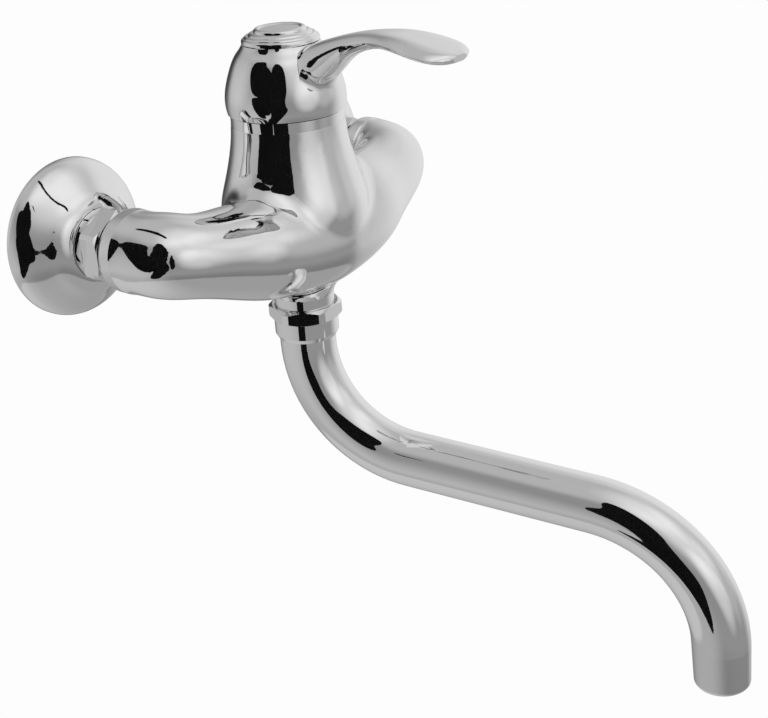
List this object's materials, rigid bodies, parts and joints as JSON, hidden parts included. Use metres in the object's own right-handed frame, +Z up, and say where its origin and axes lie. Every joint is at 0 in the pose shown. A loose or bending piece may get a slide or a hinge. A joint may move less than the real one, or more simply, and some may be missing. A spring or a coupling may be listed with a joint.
{
  "type": "basin mixer tap",
  "caption": "Wall-mounted single-lever basin mixer: crescent body on bell rosettes, domed handle with a flat lever, swivelling S-shaped tube spout with an aerator.",
  "frame": {"origin": "point on the wall plane midway between the two inlets, level with the arms of the body", "axes": "+Z up, +Y into the wall, +X to the right for someone facing the tap"},
  "size_m": [0.2156, 0.2682, 0.2777],
  "materials": {
    "chrome_plated_brass": "polished chrome plating",
    "brass": "turned, unplated",
    "rubber": "matt",
    "stainless_steel": "turned",
    "cartridge_plastic": "moulded",
    "ceramic": "lapped",
    "washer_plastic": "moulded"
  },
  "bodies": {
    "mixer": {"mixer_body": "chrome_plated_brass", "left_rosette": "chrome_plated_brass", "right_rosette": "chrome_plated_brass", "left_union_nut": "chrome_plated_brass", "right_union_nut": "chrome_plated_brass", "left_eccentric_union": "brass", "right_eccentric_union": "brass", "left_inlet_tail": "brass", "right_inlet_tail": "brass", "left_union_washer": "rubber", "right_union_washer": "rubber", "left_strainer": "stainless_steel", "right_strainer": "stainless_steel", "cartridge_base": "cartridge_plastic", "port_seals": "rubber", "fixed_disc": "ceramic", "cartridge_housing": "cartridge_plastic", "lock_nut": "brass", "trim_ring": "chrome_plated_brass", "swivel_nut": "chrome_plated_brass", "slip_washer": "washer_plastic"},
    "rotor_unit": {"rotor": "cartridge_plastic", "spindle_pin": "stainless_steel"},
    "sliding_disc": {"moving_disc": "ceramic", "disc_carrier": "cartridge_plastic"},
    "lever": {"spindle": "stainless_steel", "handle": "chrome_plated_brass", "handle_screw": "stainless_steel", "handle_cap": "chrome_plated_brass"},
    "spout": {"spout_tube": "chrome_plated_brass", "spout_o_rings": "rubber", "aerator_sleeve": "chrome_plated_brass", "aerator_insert": "washer_plastic", "aerator_washer": "rubber"}
  },
  "joints": [
    {"name": "temperature", "type": "hinge", "parent": "mixer", "child": "rotor_unit", "pos_m": [0, -0.057, 0.0335], "axis": [0, 0, 1], "range_deg": [-50, 50]},
    {"name": "lift", "type": "hinge", "parent": "rotor_unit", "child": "lever", "pos_m": [0, -0.057, 0.0335], "axis": [-1, 0, 0], "range_deg": [0, 25]},
    {"name": "disc_slide", "type": "slide", "parent": "rotor_unit", "child": "sliding_disc", "axis": [0, -1, 0], "range_m": [0, 0.00435]},
    {"name": "spout_swivel", "type": "hinge", "parent": "mixer", "child": "spout", "pos_m": [0, -0.057, -0.05], "axis": [0, 0, 1], "range_deg": [-107, 83]}
  ],
  "couplings": [
    {"joint": "disc_slide", "follows": "lift", "m_per_rad": 0.0099763}
  ]
}
